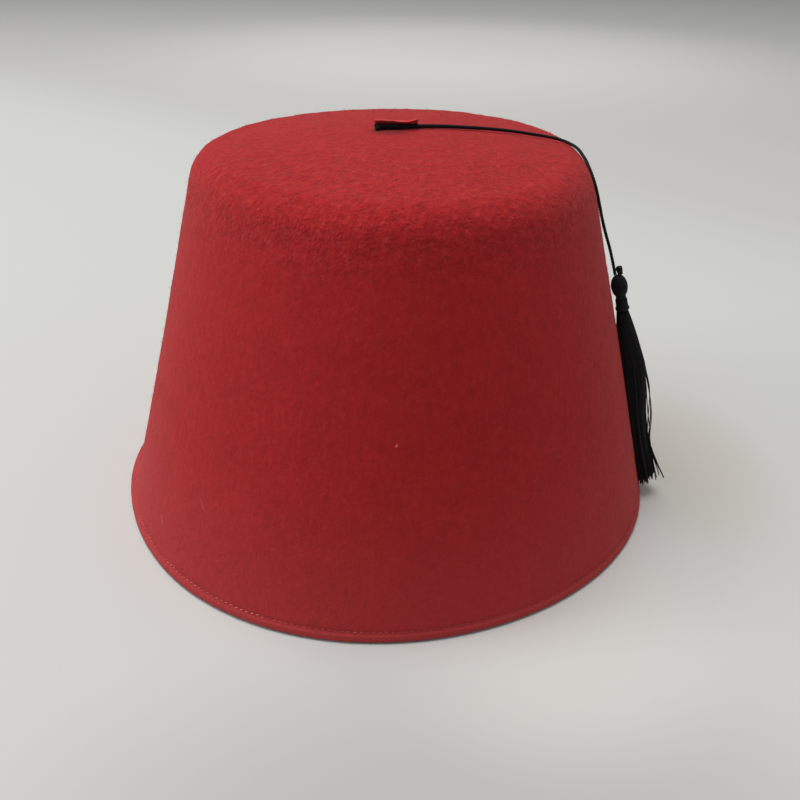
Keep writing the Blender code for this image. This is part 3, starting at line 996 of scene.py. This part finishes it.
def headPiece():
    # a solid core, and threads laid over it from its top into the neck
    turn = np.linspace(0, 2 * np.pi, tassel["coreRound"], endpoint=False)[None, :]
    share = np.linspace(tassel["coreFrom"], 1, tassel["coreSteps"])[:, None]
    radius, down = headProfile(share)
    inner = np.maximum(radius - tassel["headThread"], tassel["least"])
    core = tasselPoints(headAxis + inner * np.cos(turn), inner * np.sin(turn), down)
    threadTurn = 2 * np.pi * np.arange(tassel["headThreads"])[:, None] / tassel["headThreads"]
    share = np.linspace(tassel["threadFrom"], 1, tassel["headSteps"])[None, :]
    radius, down = headProfile(share)
    threadTurn = threadTurn + tassel["headTwist"] * share
    radius = np.maximum(radius - tassel["threadSunk"] * tassel["headThread"], tassel["least"])
    paths = tasselPoints(headAxis + radius * np.cos(threadTurn), radius * np.sin(threadTurn), down)
    paths = paths + tassel["stray"] * softNoise(paths, tassel["straySize"], 9)[..., None] * tasselOut
    middle = tasselPoints(headAxis, 0.0, down)
    thinned = radius / (tassel["threadThin"] * tassel["headRadius"])
    thinned = np.clip(thinned, tassel["threadLeast"], 1)
    radii = np.full(paths.shape[:2], tassel["headThread"]) * thinned
    threads = tubePoints(paths, radii, tassel["threadSides"], unit(paths - middle + tiny))
    points = np.concatenate([skinPoints(core), threads.reshape(-1, 3)])
    faces = skinFaces(*core.shape[:2])
    faces += tubeFaces(*paths.shape[:2], tassel["threadSides"], start=core.shape[0] * core.shape[1] + 2)
    return makePiece("tassel_head", points, faces, blackThread)


headMade = headPiece()
print("head made:", len(headMade.data.polygons), "faces")

binding = {
    "width": 4.2 * mm,
    "turns": 9.5,
    "thread": 0.24 * mm,
    "radius": 1.72 * mm,
    "bulge": 0.16 * mm,
    "steps": 420,
    "sides": 8,
    "overTurns": 2.5,
    "overStand": 0.16 * mm,
    "overFrom": 0.74,
    "overReach": 0.16,
    "overStart": 1.0,
    "fullFrom": 0.45,
    "fullReach": 0.4,
    "uneven": 0.08,
    "unevenSize": 0.7 * mm,
}


def bindingPiece():
    # thread wound round the neck: a helix, fuller at its lower end, with a second layer there
    share = np.linspace(0, 1, binding["steps"])[None, :]
    start = skirtTop - tassel["neckLength"] / 2 - binding["width"] / 2
    turn = 2 * np.pi * binding["turns"] * share
    fuller = softStep((share - binding["fullFrom"]) / binding["fullReach"])
    radius = binding["radius"] + binding["bulge"] * fuller
    down = start + binding["thread"] + share * (binding["width"] - 2 * binding["thread"])
    first = tasselPoints(headAxis + radius * np.cos(turn), radius * np.sin(turn), down)
    turn = 2 * np.pi * binding["overTurns"] * share + binding["overStart"]
    radius = binding["radius"] + binding["bulge"] + binding["overStand"]
    down = start + binding["width"] * (binding["overFrom"] + binding["overReach"] * share)
    second = tasselPoints(headAxis + radius * np.cos(turn), radius * np.sin(turn), down)
    paths = np.concatenate([first, second])
    uneven = binding["uneven"] * softNoise(paths, binding["unevenSize"], 12)
    radii = np.full(paths.shape[:2], binding["thread"]) * (1 + uneven)
    points = tubePoints(paths, radii, binding["sides"], tasselDown)
    faces = tubeFaces(*paths.shape[:2], binding["sides"])
    return makePiece("neck_binding", points, faces, blackThread)


bindingMade = bindingPiece()
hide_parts("tassel_binding")
print("binding made:", len(bindingMade.data.polygons), "faces")

knot = {
    "offset": 0.75 * mm,
    "stand": 0.15 * mm,
    "height": 2.9 * mm,
    "width": 1.7 * mm,
    "around": 36,
    "steps": 34,
    "ripple": 0.08,
    "plies": 3,
    "plyTwist": 5,
    "grain": 0.05,
    "grains": 14,
    "grainTwist": 9,
    "share": (0.0, 0.10, 0.26, 0.45, 0.62, 0.80, 0.93, 1.0),
    "radius": (1.10, 1.04, 1.08, 1.26, 1.36, 1.24, 0.90, 0.24),
}


def knotPiece():
    # the cord's cut end: a stub that swells to a rounded top, with its three plies twisted round it
    turn = np.linspace(0, 2 * np.pi, knot["around"], endpoint=False)[None, :]
    share = np.linspace(0, 1, knot["steps"])[:, None]
    radius = knot["width"] / 2 * np.interp(share, knot["share"], knot["radius"])
    plies = np.cos(knot["plies"] * turn + knot["plyTwist"] * share)
    radius = radius * (1 - knot["ripple"] + knot["ripple"] * plies)
    radius = radius * (1 + knot["grain"] * np.cos(knot["grains"] * turn - knot["grainTwist"] * share))
    down = -knot["stand"] - knot["height"] * share
    middle = headAxis + knot["offset"]
    rings = tasselPoints(middle + radius * np.cos(turn), -radius * np.sin(turn), down)
    faces = skinFaces(*rings.shape[:2])
    return makePiece("cord_knot", skinPoints(rings), faces, blackThread)


knotMade = knotPiece()
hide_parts("tassel_knot")
print("knot made:", len(knotMade.data.polygons), "faces")

skirt = {
    "length": 69.3 * mm,
    "depth": 7.3 * mm,
    "width": 12.0 * mm,
    "share": (0.00, 0.07, 0.16, 0.28, 0.42, 0.57, 0.72, 0.86, 1.00),
    "near": (0.10, 0.00, -0.12, -0.20, -0.24, -0.24, -0.22, -0.20, -0.16),
    "far": (0.64, 0.77, 0.90, 1.02, 0.98, 0.80, 0.74, 0.83, 0.95),
    "wide": (0.34, 0.42, 0.54, 0.66, 0.76, 0.84, 0.92, 0.97, 1.00),
    "seed": 23,
    "strands": 560,
    "steps": 28,
    "sides": 5,
    "radius": 0.17 * mm,
    "locks": 11,
    "lockPull": 0.75,
    "lockFrom": 0.3,
    "lockSpread": 0.10,
    "swayRuns": 1.3,
    "looseReach": 0.16,
    "looseFrom": 0.3,
    "tipFrom": 0.9,
    "tipThin": 0.35,
    "wave": 0.30 * mm,
    "shortest": 0.955,
    "outCut": 0.055,
    "wallGap": -0.05 * mm,
}
# loose strands: place round the skirt in turns, length as a share, how far out they bow in mm,
# where along, and how far sideways they swing in mm
looseStrands = (
    (0.010, 1.005, 1.9, 0.56, -0.8),
    (0.014, 1.000, 2.1, 0.58, -0.6),
    (-0.020, 0.990, 1.5, 0.50, 0.6),
    (0.030, 0.970, 0.9, 0.64, 0.5),
    (0.015, 0.985, 3.0, 1.02, 0.2),
    (0.020, 0.980, 2.8, 1.03, 0.4),
    (0.024, 0.955, 2.4, 1.00, 0.7),
    (-0.015, 0.950, 2.0, 0.98, -0.4),
    (0.000, 0.930, 1.7, 0.94, 0.1),
    (0.035, 0.940, 1.9, 0.96, 0.9),
    (0.012, 0.965, 1.3, 0.96, 0.5),
    (-0.008, 0.972, 1.5, 1.00, -0.2),
)


def wallSag(share):
    # how far the wall lies from the straight line down it, at each strand's height
    height = tassel["top"] + (skirtTop + share * skirt["length"]) * tasselDown[2]
    wall = feltPoints(np.full(share.shape, tassel["turn"]), "wall", height) - foot
    return (wall - tasselOrigin) @ tasselOut


def strandPaths(turn, fill, length, wavePhase):
    # over an oval that swells and spreads on its way down, and no nearer than the wall's nap;
    # strands draw together into locks near their tips
    share = np.linspace(0, 1, skirt["steps"])[None, :] * length[:, None]
    near = np.interp(share, skirt["share"], skirt["near"]) * skirt["depth"]
    far = np.interp(share, skirt["share"], skirt["far"]) * skirt["depth"]
    wide = np.interp(share, skirt["share"], skirt["wide"]) * skirt["width"]
    drawn = softStep(share * (1 + skirt["lockFrom"]) - skirt["lockFrom"])
    lockTurn = skirt["locks"] * turn[:, None]
    angle = turn[:, None] + skirt["lockPull"] * drawn / skirt["locks"] * np.sin(lockTurn)
    reach = fill[:, None] * (1 - skirt["lockSpread"] * drawn * np.cos(lockTurn))
    sag = wallSag(share)
    out = (near + far) / 2 + reach * ((far - near) / 2 - skirt["radius"]) * np.cos(angle) + sag
    out = np.maximum(out, sag + skirt["radius"] + skirt["wallGap"])
    side = reach * (wide / 2 - skirt["radius"]) * np.sin(angle)
    sway = skirt["wave"] * share * np.sin(2 * np.pi * (skirt["swayRuns"] * share + wavePhase[:, None]))
    return out, side + sway, skirtTop + share * skirt["length"], share


def skirtPiece():
    # strand n stands n golden angles round and sqrt(n / count) of the way out, cut a little shorter
    # outwards; then the loose ones, bowed out by exp(-(distance)^2) and swung aside by the soft step
    draw = np.random.default_rng(skirt["seed"])
    count = skirt["strands"]
    place = np.arange(count)
    turn = place * np.pi * (3 - math.sqrt(5))
    fill = np.sqrt((place + 0.5) / count)
    length = skirt["shortest"] + (1 - skirt["shortest"]) * draw.random(count) ** 0.5
    length = length - skirt["outCut"] * (1 + fill * np.cos(turn)) / 2
    out, side, down, share = strandPaths(turn, fill, length, draw.random(count))
    paths = tasselPoints(out, side, down)
    turns, lengths, bows, middles, swings = np.array(looseStrands).T
    out, side, down, share = strandPaths(2 * np.pi * turns, np.ones(len(turns)), lengths, turns)
    bow = np.exp(-(((share - middles[:, None]) / skirt["looseReach"]) ** 2)) * bows[:, None] * mm
    swing = softStep((share - skirt["looseFrom"]) / (1 - skirt["looseFrom"])) * swings[:, None] * mm
    paths = np.concatenate([paths, tasselPoints(out + bow, side + swing, down)])
    tips = np.linspace(0, 1, skirt["steps"])
    thinned = skirt["tipThin"] * softStep((tips - skirt["tipFrom"]) / (1 - skirt["tipFrom"]))
    radii = np.full(paths.shape[:2], skirt["radius"]) * (1 - thinned)
    points = tubePoints(paths, radii, skirt["sides"], tasselOut)
    faces = tubeFaces(*paths.shape[:2], skirt["sides"])
    return makePiece("tassel_skirt", points, faces, blackThread)


skirtMade = skirtPiece()
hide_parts("tassel")
print("skirt made:", len(skirtMade.data.polygons), "faces")


# floor, light and camera

stage = {
    "size": 9.0,
    "colour": (0.562, 0.568, 0.552),
    "farColour": (0.515, 0.512, 0.492),
    "farTurn": math.radians(-38),
    "farStart": 0.26,
    "farEnd": 0.48,
    "roughness": 0.75,
    "shine": 0.2,
}
# painted light and painted shadow on the floor, laid in this order: colour, middle, half size; a painted
# glow far back, painted shadow in front of the hat and beside the tassel, and painted light at the front
# right and under the tassel's tip that lifts the lamps' shadows there
paintedFloorLightAndShade = {
    "farBack": ((0.655, 0.650, 0.628), (0.15, 1.30, 0.0), (0.75, 0.75, 1.0)),
    "front": ((0.455, 0.452, 0.440), (0.02, -0.165, 0.0), (0.15, 0.085, 1.0)),
    "underTassel": ((0.505, 0.492, 0.455), (0.118, 0.004, 0.0), (0.045, 0.075, 1.0)),
    "frontRight": ((0.660, 0.657, 0.633), (0.048, -0.060, 0.0), (0.070, 0.094, 1.0)),
    "underTip": ((0.600, 0.585, 0.545), (0.0925, -0.017, 0.0), (0.016, 0.016, 1.0)),
}


def floorFinish():
    # pale board, a little greyer behind the hat, with the painted light and painted shadow patches over
    # it
    board = Board("pale_board", stage)
    seen = board.node("ShaderNodeTexCoord", {}, {}, output=3)
    values = {"Vector": seen, "Angle": -stage["farTurn"]}
    turned = board.node("ShaderNodeVectorRotate", {"rotation_type": "Z_AXIS"}, values)
    back = board.node("ShaderNodeSeparateXYZ", {}, {0: turned}, output=1)
    far = board.ramp(back, stage["farStart"], stage["farEnd"])
    shade = board.blend(far, stage["colour"], stage["farColour"])
    for colour, middle, size in paintedFloorLightAndShade.values():
        shade = board.blend(board.spot(seen, middle, size), shade, colour)
    board.colour(shade)
    return board.material


def makeFloor():
    half = stage["size"] / 2
    corners = [(-half, -half, 0), (half, -half, 0), (half, half, 0), (-half, half, 0)]
    mesh = bpy.data.meshes.new("floor")
    mesh.from_pydata(corners, [], [(0, 1, 2, 3)])
    mesh.materials.append(floorFinish())
    floor = bpy.data.objects.new("floor", mesh)
    bpy.context.scene.collection.objects.link(floor)


def makeLight(name, place, target, size, power, colour):
    light = bpy.data.lights.new(name, "AREA")
    light.shape = "DISK"
    light.size = size
    light.energy = power
    light.color = colour
    holder = bpy.data.objects.new(name, light)
    bpy.context.scene.collection.objects.link(holder)
    holder.location = place
    holder.rotation_euler = (Vector(target) - Vector(place)).to_track_quat("-Z", "Y").to_euler()


lights = {
    "overhead": ((-0.46, 0.20, 2.40), (0.0, 0.0, 0.06), 1.70, 46.0, (1.0, 0.985, 0.96)),
    "leftWindow": ((-2.00, -0.12, 0.70), (0.0, 0.0, 0.06), 1.00, 13.8, (0.97, 0.98, 1.0)),
}
sky = {"colour": (0.93, 0.94, 0.96, 1), "strength": 0.42}
camera = {
    "place": (0.00015, -0.26134, 0.17957),
    "pitch": math.radians(30.34),
    "yaw": math.radians(1.186),
    "roll": math.radians(1.187),
    "lens": 36.135,
    "sensor": 36.0,
    "halfPixel": 0.5 / 800,
    "nearest": 10 * mm,
}


def makeCamera():
    seeing = bpy.data.cameras.new("camera")
    seeing.lens = camera["lens"]
    seeing.sensor_width = camera["sensor"]
    seeing.clip_start = camera["nearest"]
    seeing.shift_x = -camera["halfPixel"]
    seeing.shift_y = camera["halfPixel"]
    holder = bpy.data.objects.new("camera", seeing)
    bpy.context.scene.collection.objects.link(holder)
    turned = (
        Matrix.Rotation(-camera["yaw"], 4, "Z")
        @ Matrix.Rotation(math.pi / 2 - camera["pitch"], 4, "X")
        @ Matrix.Rotation(camera["roll"], 4, "Z")
    )
    holder.matrix_world = Matrix.Translation(camera["place"]) @ turned
    bpy.context.scene.camera = holder


def makeSky():
    world = bpy.data.worlds.new("studio")
    world.use_nodes = True
    world.node_tree.nodes["Background"].inputs["Color"].default_value = sky["colour"]
    world.node_tree.nodes["Background"].inputs["Strength"].default_value = sky["strength"]
    bpy.context.scene.world = world
    bpy.context.scene.view_settings.view_transform = "Standard"


makeFloor()
for name, (place, target, size, power, colour) in lights.items():
    makeLight(name, place, target, size, power, colour)
makeSky()
makeCamera()
print("floor, light and camera made")
